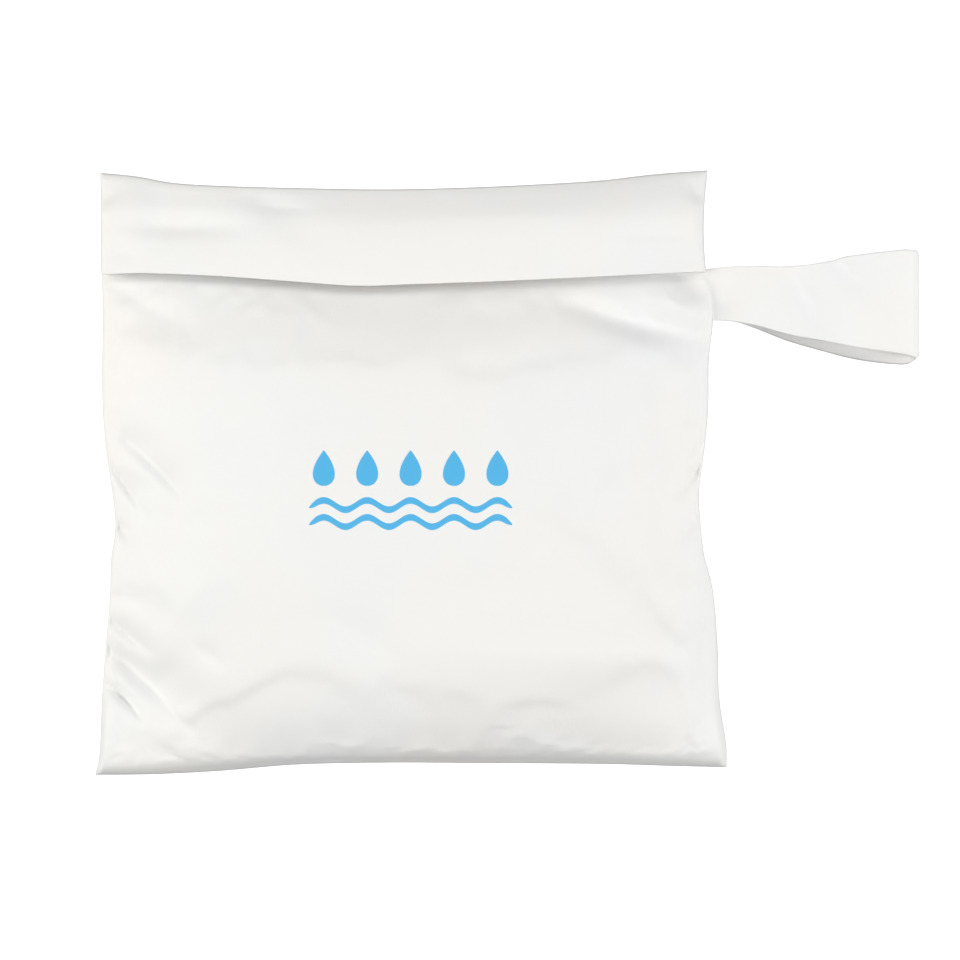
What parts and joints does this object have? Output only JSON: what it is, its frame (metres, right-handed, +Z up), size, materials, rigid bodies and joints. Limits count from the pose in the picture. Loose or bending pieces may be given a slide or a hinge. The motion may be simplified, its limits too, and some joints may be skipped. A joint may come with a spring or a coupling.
{
  "type": "cloth wet bag",
  "caption": "Square cloth pouch lying on its back, softly puffed, with a flap over its mouth and a flat strap loop out of one side seam.",
  "frame": {"origin": "On the surface that the bag lies on, under the middle of the pouch: the middle of the back panel's flattened part.", "axes": "+X to the strap's side, to the right when the front is looked down on; +Y towards the flap and the mouth; +Z up, out of the front."},
  "size_m": [0.3969, 0.2927, 0.049],
  "materials": {
    "front_cloth": "matte",
    "back_cloth": "matte",
    "flap_cloth": "matte",
    "strap_cloth": "matte"
  },
  "bodies": {
    "root": {"front_panel": "front_cloth", "back_panel": "back_cloth", "top_flap": "flap_cloth", "strap_loop": "strap_cloth"}
  },
  "joints": []
}
